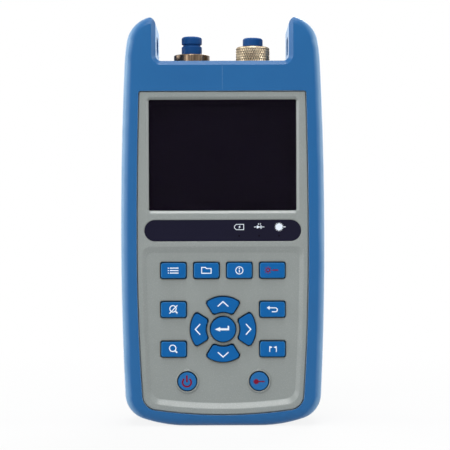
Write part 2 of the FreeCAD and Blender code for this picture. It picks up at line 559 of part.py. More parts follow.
def front_shell():
    shell = housing_prism(0.0, HOUSING_FRONT, PARTING_Y)
    shell = shell.cut(housing_prism(SHELL_WALL, HOUSING_FRONT + SHELL_WALL, PARTING_Y + 1))
    shell = shell.fuse(front_panel(PANEL_GAP, FACE_Y, HOUSING_FRONT + 0.5))
    shell = shell.cut(front_panel(PANEL_GAP + POCKET_WALL, PANEL_IN_Y, HOUSING_FRONT + SHELL_WALL + 0.5))
    shell = shell.removeSplitter()
    shell = shell.cut(recess())
    extras = [rod(Y, (side * ROUND_KEY_X, ROUND_KEY_Z), COLLAR_R, RECESS_Y - COLLAR_H, RECESS_Y + 0.5)
              for side in (-1, 1)]
    extras += [block((x, z), POST, PANEL_IN_Y - 0.5, BOARD_FRONT) for x in POST_XS for z in POST_ZS]
    shell = shell.multiFuse(extras)
    cuts = [prism(GAPS.get(name, KEY_GAP), FACE_Y - 1, PANEL_IN_Y + 1)
            for name, (prism, _, _) in KEYS.items()]
    cuts += window_cut()
    cuts.append(strip_prism(STRIP_GAP, FACE_Y - 1, FACE_Y + STRIP_T))
    cuts += [block((x, LED_Z), LED_SIZE, FACE_Y, PANEL_IN_Y + 1) for x in LED_XS]
    cuts.append(port_deck_cut())
    return shell.cut(cuts)


def door_prism(gap, y0, y1):
    return clipped(2 * (DOOR_HALF_WIDTH + gap), DOOR_H + 2 * gap, DOOR_CORNER, 0, DOOR_Z, y0, y1)


def bay(grow, y0, y1):
    w, h = BATTERY_W / 2 + grow, BATTERY_H / 2 + grow
    return box(-w, w, y0, y1, BATTERY_Z - h, BATTERY_Z + h)


def contact_blocks():
    z = BATTERY_Z + CONTACT_RISE
    return [box(n * CONTACT_PITCH - CONTACT_W / 2, n * CONTACT_PITCH + CONTACT_W / 2,
                BAY_FLOOR_Y - BAY_WALL, BAY_FLOOR_Y, z - CONTACT_H / 2, z + CONTACT_H / 2)
            for n in (-1, 0, 1)]


def stand_space():
    top = STAND_PIVOT_Z + STAND_T / 2 + STAND_GAP
    w = STAND_HALF_WIDTH + STAND_GAP
    return box(-w, w, STAND_INNER_Y - STAND_GAP / 2, BACK_FACE_Y + 1, STAND_BOTTOM - STAND_GAP, top)


def stand_pin():
    reach = STAND_HALF_WIDTH + STAND_GAP + STAND_PIN_GRIP
    return rod(X, (STAND_INNER_Y + STAND_T / 2, STAND_PIVOT_Z), STAND_PIN_R, -reach, reach)


def rear_shell():
    shell = housing_prism(0.0, PARTING_Y, HOUSING_BACK)
    shell = shell.fuse(back_panel(PANEL_GAP, HOUSING_BACK - 0.5, BACK_FACE_Y)).removeSplitter()
    shell = shell.cut(housing_prism(SHELL_WALL, PARTING_Y - 1, SHELL_INNER_BACK))
    shell = shell.fuse(bay(BAY_GAP + BAY_WALL, BAY_FLOOR_Y - BAY_WALL, SHELL_INNER_BACK + 0.5))
    cuts = [bay(BAY_GAP, BAY_FLOOR_Y, BACK + 1), door_prism(DOOR_GAP, DOOR_INNER_Y, BACK + 1)]
    cuts += contact_blocks()
    cuts += [stand_space(), stand_pin()]
    cuts.append(rod(Y, (0, STAND_BOTTOM), FINGER_R, BACK_FACE_Y - FINGER_DEPTH, BACK))
    cuts.append(box(HALF_WIDTH - HOUSING_INSET - SHELL_WALL - 2, HALF_WIDTH, SOCKET_WINDOW_FRONT,
                    SOCKET_WINDOW_BACK, SOCKET_WINDOW_BOTTOM, SOCKET_WINDOW_TOP))
    cuts.append(port_deck_cut())
    return shell.cut(cuts)


# ---------------------------------------------------------------- display and strip
def display_lens():
    w, h = WINDOW_W - 2 * LENS_GAP, WINDOW_H - 2 * LENS_GAP
    front = FACE_Y + WINDOW_BEVEL_DEPTH
    return clipped(w, h, WINDOW_CORNER, 0, WINDOW_Z, front, front + LENS_T)


def lcd_module():
    w, h, z = WINDOW_W / 2 + LCD_MARGIN_X, WINDOW_H / 2 + LCD_MARGIN_Z, WINDOW_Z - LCD_DROP
    return box(-w, w, PANEL_IN_Y, BOARD_FRONT, z - h, z + h)


def light_pipes():
    return Part.makeCompound([block((x, LED_Z), LED_SIZE, FACE_Y + STRIP_T, BOARD_FRONT - LED_T)
                              for x in LED_XS])


def indicator_leds():
    return Part.makeCompound([block((x, LED_Z), LED_SIZE, BOARD_FRONT - LED_T, BOARD_FRONT) for x in LED_XS])


# ---------------------------------------------------------------- boards
def main_board():
    height = BOARD_TOP - BOARD_BOTTOM
    return clipped(2 * BOARD_HALF_WIDTH, height, BOARD_CORNER, 0, BOARD_BOTTOM + height / 2,
                   BOARD_FRONT, BOARD_BACK)


def board_chips():
    chips = []
    for x, rise, w, h in CHIPS:
        z = PAD_Z + rise
        body = box(x - w / 2, x + w / 2, BOARD_BACK, BOARD_BACK + CHIP_T, z - h / 2, z + h / 2)
        pins = box(x - w / 2 - CHIP_PIN, x + w / 2 + CHIP_PIN, BOARD_BACK, BOARD_BACK + CHIP_T / 3,
                   z - h / 2 + CHIP_PIN, z + h / 2 - CHIP_PIN)
        chips.append(join([body, pins]))
    return Part.makeCompound(chips)


def module(x0, x1, height):
    """Closed can on the back of the board."""
    case = box(x0, x1, BOARD_BACK, BOARD_BACK + MODULE_T, MODULE_TOP - height, MODULE_TOP)
    return case.makeChamfer(MODULE_BEVEL, along(case, Y))


def pigtail(x):
    """Fibre from the top of a module up to its port."""
    return rod(Z, (x, PORT_Y), FIBRE_R, MODULE_TOP, FERRULE_BOTTOM)


# ---------------------------------------------------------------- optical ports
def port_panel():
    neck = deck_plate(0.0, PORT_DECK_BOTTOM, PORT_DECK_TOP)
    w, d = PORT_DECK_LENGTH / 2 + SHELL_WALL, PORT_DECK_WIDTH / 2 + SHELL_WALL
    flange = box(-w, w, PORT_Y - d, PORT_Y + d, PORT_DECK_BOTTOM, HOUSING_TOP - SHELL_WALL)
    holes = [rod(Z, (side * PORT_X, PORT_Y), SLEEVE_R, PORT_DECK_BOTTOM - 1, PORT_DECK_TOP + 1)
             for side in (-1, 1)]
    return join([neck, flange]).cut(holes)


def otdr_port_body():
    """Flange on the deck with a threaded barrel above it, bored for the ferrule."""
    barrel_top = FLANGE_TOP + BARREL_LENGTH
    return spin(-PORT_X, PORT_Y, [
        (SLEEVE_R, PORT_DECK_TOP), (FLANGE_R, PORT_DECK_TOP), (FLANGE_R, FLANGE_TOP),
        (BARREL_R, FLANGE_TOP), (BARREL_R, barrel_top), (SLEEVE_R, barrel_top)])


def otdr_sleeve():
    return spin(-PORT_X, PORT_Y, [(SLEEVE_BORE_R, SLEEVE_BOTTOM), (SLEEVE_R, SLEEVE_BOTTOM),
                                  (SLEEVE_R, SLEEVE_TOP), (SLEEVE_BORE_R, SLEEVE_TOP)])


def otdr_ferrule():
    return rod(Z, (-PORT_X, PORT_Y), SLEEVE_R, FERRULE_BOTTOM, SLEEVE_BOTTOM)


def otdr_cap():
    """Cap with a waist, open below so that it pushes over the barrel."""
    bore, bore_top = BARREL_R + CAP_GAP, FLANGE_TOP + BARREL_LENGTH + 2 * CAP_GAP
    waist = FLANGE_TOP + CAP_SKIRT_H
    crown = waist + CAP_NECK_H
    top = crown + CAP_CROWN_H
    return spin(-PORT_X, PORT_Y, [
        (bore, FLANGE_TOP), (CAP_R, FLANGE_TOP), (CAP_R, waist), (CAP_NECK_R, waist), (CAP_NECK_R, crown),
        (CAP_R, crown), (CAP_R, top - CAP_EDGE), (CAP_R - CAP_EDGE, top), (0.0, top),
        (0.0, bore_top), (bore, bore_top)])


def laser_cap():
    """The same cap on the shorter barrel, with a slim skirt that passes through the nut."""
    bore, bore_top = BARREL_R + CAP_GAP, LASER_BARREL_TOP + 2 * CAP_GAP
    foot, crown = LASER_SEAT + LASER_FLANGE_T, NUT_TOP + 2 * CAP_GAP
    top = crown + LASER_CAP_CROWN_H
    return spin(PORT_X, PORT_Y, [
        (bore, foot), (LASER_CAP_SKIRT_R, foot), (LASER_CAP_SKIRT_R, crown), (LASER_CAP_R, crown),
        (LASER_CAP_R, top - CAP_EDGE), (LASER_CAP_R - CAP_EDGE, top), (0.0, top),
        (0.0, bore_top), (bore, bore_top)])


def laser_port_base():
    """Post for the loose nut, with a tail that goes down through the deck."""
    post = rod(Z, (PORT_X, PORT_Y), LASER_POST_R, PORT_DECK_TOP, LASER_SEAT)
    return join([post, rod(Z, (PORT_X, PORT_Y), SLEEVE_R, FERRULE_BOTTOM, PORT_DECK_TOP)])


def laser_adaptor():
    flange_top = LASER_SEAT + LASER_FLANGE_T
    return spin(PORT_X, PORT_Y, [
        (SLEEVE_BORE_R, LASER_SEAT), (LASER_FLANGE_R, LASER_SEAT), (LASER_FLANGE_R, flange_top),
        (BARREL_R, flange_top), (BARREL_R, LASER_BARREL_TOP), (SLEEVE_BORE_R, LASER_BARREL_TOP)])


def laser_nut():
    """Loose ring round the post, with a lip that grips the flange of the adaptor."""
    bore = LASER_POST_R + THREAD_GAP
    return spin(PORT_X, PORT_Y, [
        (bore, NUT_BOTTOM), (NUT_R, NUT_BOTTOM), (NUT_R, NUT_TOP),
        (NUT_LIP_R, NUT_TOP), (NUT_LIP_R, NUT_STEP_Z), (bore, NUT_STEP_Z)])


# ---------------------------------------------------------------- stand, battery, door
def kickstand():
    top, pivot_y = STAND_PIVOT_Z, STAND_INNER_Y + STAND_T / 2
    leaf = box(-STAND_HALF_WIDTH, STAND_HALF_WIDTH, STAND_INNER_Y, BACK_FACE_Y, STAND_BOTTOM, top)
    leaf = leaf.makeFillet(STAND_CORNER_R, along(leaf, Y, lambda c: c.z < STAND_BOTTOM + 1))
    w = STAND_HALF_WIDTH - STAND_RAIL
    opening = box(-w, w, STAND_INNER_Y - 1, BACK, STAND_BOTTOM + STAND_FOOT_RAIL, top - STAND_HEAD_RAIL)
    opening = opening.makeFillet(STAND_CORNER_R, along(opening, Y))
    barrel = rod(X, (pivot_y, top), STAND_T / 2, -STAND_HALF_WIDTH, STAND_HALF_WIDTH)
    bore = rod(X, (pivot_y, top), STAND_PIN_R + STAND_PIN_GAP, -HALF_WIDTH, HALF_WIDTH)
    return leaf.fuse(barrel).removeSplitter().cut([opening, bore])


def battery_pack():
    pack = bay(0.0, BAY_FLOOR_Y, DOOR_INNER_Y)
    return pack.makeChamfer(BATTERY_EDGE, along(pack, X))


def battery_door():
    door = door_prism(0.0, DOOR_INNER_Y, BACK_FACE_Y)
    cuts = []
    for n in (-1, 0, 1):
        z = DOOR_BOTTOM + DOOR_H - GROOVE_DROP + n * GROOVE_PITCH
        cuts.append(box(-GROOVE_LENGTH / 2, GROOVE_LENGTH / 2, BACK_FACE_Y - GROOVE_DEPTH, BACK,
                        z - GROOVE_W / 2, z + GROOVE_W / 2))
    return door.cut(cuts)


# ---------------------------------------------------------------- side sockets
def side_board():
    return box(SIDE_BOARD_X, SIDE_BOARD_X + BOARD_T, SIDE_BOARD_FRONT, SHELL_INNER_BACK,
               COVER_BOTTOM + SIDE_BOARD_MARGIN, COVER_TOP - SIDE_BOARD_MARGIN)


def usb_socket():
    x0 = SIDE_BOARD_X + BOARD_T
    x1 = x0 + SOCKET_DEPTH
    w, h, t = USB_W / 2, USB_H / 2, USB_WALL
    case = box(x0, x1, SOCKET_Y - w, SOCKET_Y + w, USB_Z - h, USB_Z + h)
    hollow = box(x0 + 1, x1 + 1, SOCKET_Y - w + t, SOCKET_Y + w - t, USB_Z - h + t, USB_Z + h - t)
    reach = h - USB_TONGUE_INSET
    tongue = box(x0, x1 - SOCKET_PIN_SUNK, SOCKET_Y - USB_TONGUE / 2, SOCKET_Y + USB_TONGUE / 2,
                 USB_Z - reach, USB_Z + reach)
    return join([case.cut(hollow), tongue])


def dc_jack():
    x0 = SIDE_BOARD_X + BOARD_T
    x1, h = x0 + SOCKET_DEPTH, JACK_SIZE / 2
    case = box(x0, x1, SOCKET_Y - h, SOCKET_Y + h, JACK_Z - h, JACK_Z + h)
    case = case.cut(rod(X, (SOCKET_Y, JACK_Z), JACK_BORE_R, x0 + 1, x1 + 1))
    return join([case, rod(X, (SOCKET_Y, JACK_Z), JACK_PIN_R, x0, x1 - SOCKET_PIN_SUNK)])


def port_cover():
    """Flap flush with the side of the boot, rounded about its hinge line, with a pad on its inside."""
    r, inner = COVER_T / 2, HALF_WIDTH - COVER_T
    axis_x, axis_y = inner + r, COVER_BACK - r
    flap = cover_hole(0.0, inner, HALF_WIDTH + 1).common(boot_side())
    flap = flap.cut(box(inner - 1, HALF_WIDTH + 2, axis_y, COVER_BACK + 1, COVER_BOTTOM - 1, COVER_TOP + 1))
    bead = rod(Z, (axis_x, axis_y), r, COVER_BOTTOM, COVER_TOP)
    pad = box(inner - COVER_PAD_T, inner, SOCKET_WINDOW_FRONT + COVER_PAD_GAP,
              SOCKET_WINDOW_BACK - COVER_PAD_GAP, SOCKET_WINDOW_BOTTOM + 1, SOCKET_WINDOW_TOP - 1)
    return join([flap, bead.common(boot_side()), pad])


def boot_side():
    """Plain prism of the boot's side, without its rounded edges."""
    lean = math.degrees(math.asin((PANEL_TOP - WIDEST_Z) / SIDE_R_UP))
    upper = bowed(HALF_WIDTH, WIDEST_Z, [(SIDE_R_UP, lean)], 1)
    return outline(lower_half(0.0) + upper, FRONT, BACK)


NODES = {
    "protective_boot": protective_boot,
    "front_shell": front_shell,
    "rear_shell": rear_shell,
    "display_lens": display_lens,
    "lcd_module": lcd_module,
    "indicator_strip": lambda: strip_prism(0.0, FACE_Y, FACE_Y + STRIP_T),
    "light_pipes": light_pipes,
    "indicator_leds": indicator_leds,
    "keypad_mat": keypad_mat,
    "key_switches": key_switches,
    "main_board": main_board,
    "board_chips": board_chips,
    "otdr_module": lambda: module(OTDR_BOX_LEFT, OTDR_BOX_LEFT + OTDR_BOX_W, OTDR_BOX_H),
    "laser_module": lambda: module(PORT_X - LASER_BOX_W / 2, PORT_X + LASER_BOX_W / 2, LASER_BOX_H),
    "otdr_pigtail": lambda: pigtail(-PORT_X),
    "laser_pigtail": lambda: pigtail(PORT_X),
    "port_panel": port_panel,
    "otdr_port_body": otdr_port_body,
    "otdr_sleeve": otdr_sleeve,
    "otdr_ferrule": otdr_ferrule,
    "otdr_cap": otdr_cap,
    "laser_port_base": laser_port_base,
    "laser_adaptor": laser_adaptor,
    "laser_nut": laser_nut,
    "laser_cap": laser_cap,
    "battery_pack": battery_pack,
    "battery_contacts": lambda: Part.makeCompound(contact_blocks()),
    "battery_door": battery_door,
    "side_board": side_board,
    "usb_socket": usb_socket,
    "dc_jack": dc_jack,
    "port_cover": port_cover,
    "kickstand": kickstand,
    "kickstand_pin": stand_pin,
}
for name in KEYS:
    NODES[name] = lambda name=name: key(name)

os.makedirs("parts", exist_ok=True)
for name, make in NODES.items():
    shape = make()
    if shape.isNull() or not shape.isValid() or not shape.Solids:
        raise ValueError(name + " is not a sound solid")
    shape.exportStep("parts/" + name + ".step")
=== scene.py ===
"""Looks of the handheld optical time domain reflectometer: materials, legends, knurling and small fasteners.

Units are metres, in the frame of the CAD: X runs to the right of somebody looking at the display, Y from the
display to the back, and Z up from the surface that the boot stands on.  Printed marks are drawn in
millimetres about 0, 0.
"""
import json
import math

import bmesh
import bpy
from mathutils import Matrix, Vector

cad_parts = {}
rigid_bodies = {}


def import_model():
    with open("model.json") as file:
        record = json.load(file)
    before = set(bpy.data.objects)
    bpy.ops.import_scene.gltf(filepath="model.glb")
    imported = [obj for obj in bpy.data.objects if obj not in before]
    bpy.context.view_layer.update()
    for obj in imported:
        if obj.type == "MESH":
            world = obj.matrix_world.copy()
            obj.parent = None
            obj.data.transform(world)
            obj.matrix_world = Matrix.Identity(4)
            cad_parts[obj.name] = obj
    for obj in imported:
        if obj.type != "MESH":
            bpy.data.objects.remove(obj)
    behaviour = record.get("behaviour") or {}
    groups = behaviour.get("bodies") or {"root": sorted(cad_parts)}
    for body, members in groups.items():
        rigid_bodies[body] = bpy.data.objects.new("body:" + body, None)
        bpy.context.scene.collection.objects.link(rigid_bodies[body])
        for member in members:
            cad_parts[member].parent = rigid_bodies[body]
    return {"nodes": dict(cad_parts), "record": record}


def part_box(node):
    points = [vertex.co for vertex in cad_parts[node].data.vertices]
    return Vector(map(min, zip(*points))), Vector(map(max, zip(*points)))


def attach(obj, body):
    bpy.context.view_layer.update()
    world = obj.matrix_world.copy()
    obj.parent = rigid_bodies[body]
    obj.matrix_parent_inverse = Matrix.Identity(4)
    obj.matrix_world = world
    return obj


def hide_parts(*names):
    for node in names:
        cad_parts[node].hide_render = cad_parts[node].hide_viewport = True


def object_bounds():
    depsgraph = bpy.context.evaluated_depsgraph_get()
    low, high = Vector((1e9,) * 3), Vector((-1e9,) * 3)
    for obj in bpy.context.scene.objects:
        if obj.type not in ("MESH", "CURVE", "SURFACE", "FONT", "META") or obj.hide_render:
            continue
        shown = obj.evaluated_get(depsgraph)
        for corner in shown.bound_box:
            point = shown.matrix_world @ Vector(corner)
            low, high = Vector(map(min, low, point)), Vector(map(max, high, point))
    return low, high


for leftover in list(bpy.data.objects):
    bpy.data.objects.remove(leftover)
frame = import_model()
bpy.context.view_layer.update()
CAD_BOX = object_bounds()
LOW, HIGH = CAD_BOX

# ---------------------------------------------------------------- sizes
MM = 0.001
WELD = 0.001 * MM
INK = 0.03 * MM                 # thickness of a printed mark
INK_STEP = 0.0005 * MM          # between the strokes of a mark, so that no two of them share a plane

# rounding of edges, as faces and then in the shading only
KEY_EDGE, PANEL_EDGE, RUBBER_EDGE, FLANGE_EDGE = 0.45 * MM, 0.3 * MM, 0.35 * MM, 0.6 * MM
SOFT_EDGE, FRONT_EDGE = 0.5 * MM, 0.9 * MM
EDGE_SEGMENTS, SOFT_EDGE_SAMPLES = 3, 6

# angles between faces, in degrees
SHARP_ANGLE, SLOPE_ANGLE = 38.0, 14.0           # kept crisp; the second keeps the shallow slopes of the front
KEY_EDGE_ANGLE, EDGE_ANGLE = 30.0, 50.0         # rounded; the first takes in the clipped corners of the keys

LENS_BORDER = 2.2 * MM
LAMP_WINDOW_R, SIGN_RISE = 0.4, 1.7             # in millimetres; the signs stand over the strip's middle line
MITRE_LIMIT = 0.35                              # least cosine, so that a mitre has no long spike

KNURL_AROUND, KNURL_PITCH, KNURL_DEPTH = 46, 1.25 * MM, 0.42 * MM
KNURL_STEPS, KNURL_ROWS = 6, 40                 # faces to a ridge round the nut, and rows of them up it
NUT_BEVEL, NUT_LIP_R, NUT_LIP_H, NUT_BORE_R = 0.7 * MM, 5.4 * MM, 3.64 * MM, 6.56 * MM

CAP_BORE_R, CAP_NECK_R, CAP_ROOF, CAP_GAP = 4.1 * MM, 4.35 * MM, 1.8 * MM, 0.2 * MM
CAP_SKIRT_H, CAP_NECK_H = 4.3 * MM, 0.9 * MM
CAP_CROWN_EDGE, CAP_SOFT_EDGE, CAP_SEGMENTS = 1.25 * MM, 0.5 * MM, 64
LASER_CAP_SKIRT_R, LASER_CAP_CROWN_H = 4.7 * MM, 4.4 * MM

SEAM_HALF_WIDTH, SEAM_H, SEAM_SUNK, SEAM_SWAY = 0.11 * MM, 0.05 * MM, 0.01 * MM, 0.05 * MM
SEAM_BELOW_DECK, SEAM_OVER_LENS, SEAM_ROWS = 1.6 * MM, 4.8 * MM, 24
SEAM_TURN = 1.3                                 # of the sway from row to row, in radians

SCREW_HEAD = ((0.0, 0.34), (0.9, 0.32), (1.5, 0.22), (1.9, 0.02), (1.95, -0.1))     # radius and height, in mm
SCREW_MARGIN_X, SCREW_RISE, SCREW_SEGMENTS = 6.1 * MM, 4.1 * MM, 32
SLOT_ARM, SLOT_HALF_WIDTH, SLOT_OVER_DOOR = 1.15 * MM, 0.26 * MM, 0.36 * MM

# size of the features in the textures
CLOUD_SIZE, EDGE_HIGHLIGHT_SIZE, SMEAR_SIZE, COPPER_SIZE = 18 * MM, 9 * MM, 9 * MM, 2.2 * MM
# painted highlight on the boot's outer edges: its least strength, and how uneven it is
EDGE_HIGHLIGHT_LEAST, EDGE_HIGHLIGHT_UNEVEN = 0.8, 0.4
EDGE_HIGHLIGHT_FULL = 0.3                                 # full painted highlight where a surface faces the front or back this far


def middle(node):
    lo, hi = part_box(node)
    return (lo + hi) / 2


# ---------------------------------------------------------------- materials
def linear(r, g, b):
    """Linear colour from an everyday 0 to 255 one."""
    def channel(v):
        v /= 255
        return v / 12.92 if v <= 0.04045 else ((v + 0.055) / 1.055) ** 2.4
    return (channel(r), channel(g), channel(b), 1.0)


def maths(tree, operation, *values):
    """Maths node on numbers or on the outputs of other nodes."""
    made = tree.nodes.new("ShaderNodeMath")
    made.operation = operation
    for socket, value in zip(made.inputs, values):
        if isinstance(value, (int, float)):
            socket.default_value = value
        else:
            tree.links.new(value, socket)
    return made.outputs[0]


def map_range(tree, value, **limits):
    """Node that maps a value from one range to another; a limit that isn't given is 0 or 1."""
    ramp = tree.nodes.new("ShaderNodeMapRange")
    for key, limit in limits.items():
        ramp.inputs[key.replace("_", " ").title()].default_value = limit
    tree.links.new(value, ramp.inputs["Value"])
    return ramp.outputs[0]


class Surface:
    """A shader whose colour and height are built from procedural textures in the object's own space."""

    def __init__(self, name, colour, roughness, metallic=0.0, specular=0.5):
        self.material = bpy.data.materials.new("look_" + name)
        self.material.use_nodes = True
        self.material.diffuse_color = colour
        self.tree = self.material.node_tree
        self.shader = self.tree.nodes["Principled BSDF"]
        self.set("Base Color", colour)
        self.set("Roughness", roughness)
        self.set("Metallic", metallic)
        self.set("Specular IOR Level", specular)
        self.flat = colour
        self.colour = None
        self.normal = None
        self.coords = self.node("ShaderNodeTexCoord").outputs["Object"]

    def set(self, socket, value):
        self.shader.inputs[socket].default_value = value

    def node(self, kind, **settings):
        made = self.tree.nodes.new(kind)
        for key, value in settings.items():
            if key in made.inputs:
                made.inputs[key].default_value = value
            else:
                setattr(made, key, value)
        return made

    def link(self, out, socket):
        self.tree.links.new(out, socket)

    def noise(self, size, detail=2.0, stretch=(1, 1, 1)):
        """Noise with features about 'size' metres across."""
        place = self.node("ShaderNodeMapping", Scale=stretch)
        self.link(self.coords, place.inputs["Vector"])
        noise = self.node("ShaderNodeTexNoise", Scale=1.0 / size, Detail=detail)
        self.link(place.outputs[0], noise.inputs["Vector"])
        return noise.outputs["Fac"]

    def tint(self, factor, colour, low=0.35, high=0.75, strength=1.0):
        """Blends towards another colour where the factor is high."""
        mix = self.node("ShaderNodeMix", data_type="RGBA")
        share = map_range(self.tree, factor, from_min=low, from_max=high, to_min=0.0, to_max=strength)
        self.link(share, mix.inputs["Factor"])
        if self.colour is None:
            mix.inputs[6].default_value = self.flat
        else:
            self.link(self.colour, mix.inputs[6])
        mix.inputs[7].default_value = colour
        self.colour = mix.outputs[2]
        self.link(self.colour, self.shader.inputs["Base Color"])
        return self

    def grain(self, height, depth, strength=0.5):
        bump = self.node("ShaderNodeBump", Strength=strength, Distance=depth)
        self.link(height, bump.inputs["Height"])
        if self.normal is not None:
            self.link(self.normal, bump.inputs["Normal"])
        self.normal = bump.outputs[0]
        self.link(self.normal, self.shader.inputs["Normal"])
        return self

    def sheen(self, weight, colour, roughness):
        self.set("Sheen Weight", weight)
        self.set("Sheen Tint", colour)
        self.set("Sheen Roughness", roughness)
        return self

    def soft_edge(self, radius):
        bevel = self.node("ShaderNodeBevel", samples=SOFT_EDGE_SAMPLES)
        bevel.inputs["Radius"].default_value = radius
        self.normal = bevel.outputs[0]
        self.link(self.normal, self.shader.inputs["Normal"])
        return self

    def roughen(self, factor, low, high):
        self.link(map_range(self.tree, factor, to_min=low, to_max=high), self.shader.inputs["Roughness"])
        return self

    def facing(self, axis):
        """How far a surface faces an axis of the object."""
        geometry = self.node("ShaderNodeNewGeometry")
        dot = self.node("ShaderNodeVectorMath", operation="DOT_PRODUCT")
        dot.inputs[1].default_value = axis
        self.link(geometry.outputs["Normal"], dot.inputs[0])
        return dot.outputs["Value"]

    def outward(self):
        """How far a surface faces away from the middle plane of the object, to the left or to the right."""
        split = self.node("ShaderNodeSeparateXYZ")
        self.link(self.coords, split.inputs[0])
        side = maths(self.tree, "SIGN", split.outputs["X"])
        return maths(self.tree, "MULTIPLY", self.facing((1, 0, 0)), side)

    def painted_edge_highlight(self):
        """Painted highlight along an upright edge: a little uneven, and none on the flat of the sides."""
        frontal = maths(self.tree, "ABSOLUTE", self.facing((0, 1, 0)))
        uneven = maths(self.tree, "MULTIPLY_ADD", self.noise(EDGE_HIGHLIGHT_SIZE, 2.0), EDGE_HIGHLIGHT_UNEVEN, EDGE_HIGHLIGHT_LEAST)
        return maths(self.tree, "MULTIPLY", map_range(self.tree, frontal, from_max=EDGE_HIGHLIGHT_FULL), uneven)


def moulded(name, colour, clouds, roughness, grain_size, grain_depth, edge=0.0, specular=0.12):
    """Moulded plastic or rubber: faint clouding, soft edges, and fine grain measured in millimetres."""
    look = Surface(name, linear(*colour), roughness, specular=specular)
    if edge:
        look.soft_edge(edge)
    look.tint(look.noise(CLOUD_SIZE, 3.0), linear(*clouds), strength=0.5)
    fine = look.noise(grain_size * MM, 2.0)
    look.roughen(fine, roughness - 0.06, roughness + 0.08)
    return look.grain(fine, grain_depth * MM)


def metal(name, colour, dark, roughness, size=0.6, stretch=(1, 1, 1)):
    """Metal with darker streaks of a size in millimetres."""
    look = Surface(name, linear(*colour), roughness, metallic=1.0)
    streaks = look.noise(size * MM, 4.0, stretch)
    look.tint(streaks, linear(*dark), low=0.4, high=0.7, strength=0.8)
    look.roughen(streaks, roughness - 0.08, roughness + 0.12)
    return look.grain(streaks, 0.02 * MM, 0.3)


def boot_rubber():
    """Blue rubber with a sheen, and a painted highlight that makes it paler along its outer side edges."""
    look = moulded("boot_rubber", (20, 93, 150), (16, 87, 144), 0.3, 0.5, 0.01, specular=0.3)
    painted_highlight = maths(look.tree, "MULTIPLY", look.outward(), look.painted_edge_highlight())
    # painted highlight: paler blue on the outward-facing side edges
    look.tint(painted_highlight, linear(136, 174, 204), low=0.2, high=0.85, strength=0.58)
    return look.sheen(0.8, linear(190, 215, 240), 0.4)


def key_rubber(name, colour, clouds, rim):
    """Coloured face with a painted highlight as a paler rim, and painted shade on the dark sides."""
    look = moulded(name, colour, clouds, 0.42, 0.4, 0.012)
    # painted highlight: a paler rim where the face turns away from the front
    look.tint(look.facing((0, -1, 0)), linear(*rim), low=0.98, high=0.8)
    # painted shade: near-black navy on the sides of the key
    return look.tint(look.facing((0, -1, 0)), linear(4, 10, 30), low=0.6, high=0.35)


def display_lens():
    """Clear acrylic, faintly smeared."""
    look = Surface("display_lens", (0.93, 0.94, 0.97, 1), 0.03)
    look.set("Transmission Weight", 1.0)
    look.set("IOR", 1.06)
    return look.roughen(look.noise(SMEAR_SIZE, 3.0), 0.02, 0.07)


def circuit_board():
    """Green lacquer with patches of copper under it."""
    look = moulded("circuit_board", (12, 70, 38), (16, 90, 50), 0.35, 1.2, 0.01)
    return look.tint(look.noise(COPPER_SIZE, 0.0), linear(120, 150, 90), low=0.62, high=0.64, strength=0.6)


# colour, its clouds, roughness, size and depth of the grain, and where given the soft edge and the gloss
MOULDED = {
    "grey_plastic": ((146, 150, 148), (139, 144, 142), 0.36, 0.45, 0.015, SOFT_EDGE, 0.35),
    "front_plastic": ((140, 146, 144), (134, 140, 138), 0.25, 0.45, 0.006, FRONT_EDGE, 0.5),
    "deck_plastic": ((92, 95, 96), (84, 87, 88), 0.5, 0.45, 0.02, SOFT_EDGE),
    "stand_plastic": ((118, 122, 122), (110, 114, 114), 0.5, 0.45, 0.02, SOFT_EDGE),
    "display_module": ((15, 11, 19), (18, 14, 24), 0.3, 3, 0.002, 0.0, 0.0),
    "strip_film": ((22, 21, 40), (19, 18, 35), 0.32, 0.8, 0.004, 0.0, 0.08),
    "clear_plastic": ((200, 210, 205), (180, 190, 185), 0.25, 2, 0.002),
    "led_plastic": ((220, 225, 215), (200, 205, 190), 0.25, 2, 0.002),
    "chip_plastic": ((32, 32, 34), (40, 40, 42), 0.55, 0.3, 0.01),
    "fibre_jacket": ((225, 190, 60), (210, 175, 50), 0.4, 1, 0.004),
    "ferrule_ceramic": ((236, 236, 232), (226, 226, 220), 0.2, 2, 0.002),
    "cap_rubber": ((22, 74, 132), (18, 66, 124), 0.4, 0.5, 0.012),
    "battery_wrap": ((44, 46, 50), (38, 40, 44), 0.3, 4, 0.01),
    "legend_white": ((232, 240, 250), (222, 232, 244), 0.5, 0.3, 0.002),
    "legend_red": ((122, 18, 46), (108, 14, 40), 0.5, 0.3, 0.002),
    # painted shade: the dark of the crossed slots in the door screws
    "slot_painted_shade": ((30, 30, 34), (22, 22, 26), 0.5, 0.3, 0.002),
}
# colour, its streaks, roughness, and where given the size of the streaks and their stretch
METAL = {
    "spring_steel": ((190, 190, 185), (150, 150, 145), 0.3),
    "tin_plate": ((195, 198, 200), (165, 168, 170), 0.35, 3),
    "screw_steel": ((120, 121, 124), (80, 80, 84), 0.35),
    "black_aluminium": ((48, 48, 50), (34, 34, 36), 0.45),
    "nickel_metal": ((126, 108, 90), (52, 42, 34), 0.26, 3, (6, 6, 0.25)),
    "nut_metal": ((182, 166, 140), (142, 126, 104), 0.3, 4),
    "contact_brass": ((214, 178, 96), (180, 140, 70), 0.25),
    "socket_steel": ((190, 190, 190), (150, 150, 150), 0.3),
}
# colour, its clouds, and the paler rim of painted highlight
KEY_RUBBER = {
    "key_rubber": ((10, 92, 158), (14, 96, 163), (58, 136, 196)),
    "key_rubber_round": ((36, 102, 162), (40, 108, 168), (84, 148, 200)),
}
LOOKS = {"boot_rubber": boot_rubber(), "display_lens": display_lens(), "circuit_board": circuit_board()}
for recipe, table in ((moulded, MOULDED), (metal, METAL), (key_rubber, KEY_RUBBER)):
    LOOKS.update({name: recipe(name, *values) for name, values in table.items()})


